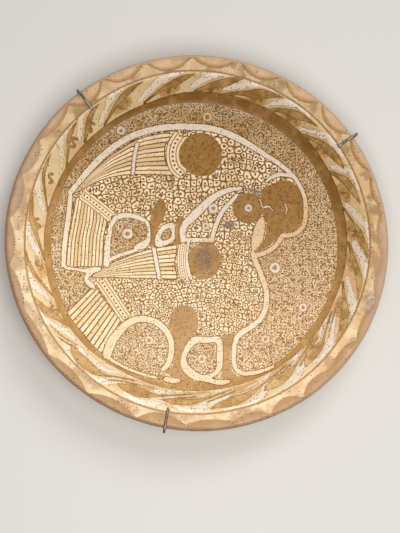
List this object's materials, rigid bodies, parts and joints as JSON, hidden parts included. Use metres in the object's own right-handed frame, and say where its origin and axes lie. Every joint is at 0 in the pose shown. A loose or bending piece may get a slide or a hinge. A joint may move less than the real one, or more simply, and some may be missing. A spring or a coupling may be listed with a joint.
{
  "type": "painted dish in a plate hanger",
  "caption": "Shallow round dish with a painted tin-glazed face, sloping wall, flat lip and foot ring, held for hanging by sprung wire hooks on a ring with an eye.",
  "frame": {"origin": "centre of the foot's standing face", "axes": "+Z out of the painted face, +Y towards the top of the painting, +X towards its right"},
  "size_m": [0.305, 0.3054, 0.0425],
  "materials": {
    "terracotta": "matte",
    "tin_glaze": "gloss",
    "hanger_wire": "satin",
    "spring_wire": "satin"
  },
  "bodies": {
    "dish": {"clay_body": "terracotta", "face_glaze": "tin_glaze", "hanger_ring": "hanger_wire"},
    "left_arm": {"left_spring": "spring_wire"},
    "left_clip": {"left_hook": "hanger_wire"},
    "right_arm": {"right_spring": "spring_wire"},
    "right_clip": {"right_hook": "hanger_wire"},
    "bottom_arm": {"bottom_spring": "spring_wire"},
    "bottom_clip": {"bottom_hook": "hanger_wire"}
  },
  "joints": [
    {"name": "left_walk", "type": "hinge", "parent": "dish", "child": "left_arm", "pos_m": [0, 0, 0.0029], "axis": [0, 0, 1], "range_deg": [-30, 30]},
    {"name": "left_pull", "type": "slide", "parent": "left_arm", "child": "left_clip", "axis": [-0.6106, 0.7541, 0.2419], "range_m": [0, 0.02], "stiffness_N_per_m": 200, "springref_m": -0.02, "deforming": ["left_spring"]},
    {"name": "right_walk", "type": "hinge", "parent": "dish", "child": "right_arm", "pos_m": [0, 0, 0.0029], "axis": [0, 0, 1], "range_deg": [-30, 30]},
    {"name": "right_pull", "type": "slide", "parent": "right_arm", "child": "right_clip", "axis": [0.8044, 0.5426, 0.2419], "range_m": [0, 0.02], "stiffness_N_per_m": 200, "springref_m": -0.02, "deforming": ["right_spring"]},
    {"name": "bottom_walk", "type": "hinge", "parent": "dish", "child": "bottom_arm", "pos_m": [0, 0, 0.0029], "axis": [0, 0, 1], "range_deg": [-30, 30]},
    {"name": "bottom_pull", "type": "slide", "parent": "bottom_arm", "child": "bottom_clip", "axis": [-0.1685, -0.9556, 0.2419], "range_m": [0, 0.02], "stiffness_N_per_m": 200, "springref_m": -0.02, "deforming": ["bottom_spring"]}
  ]
}
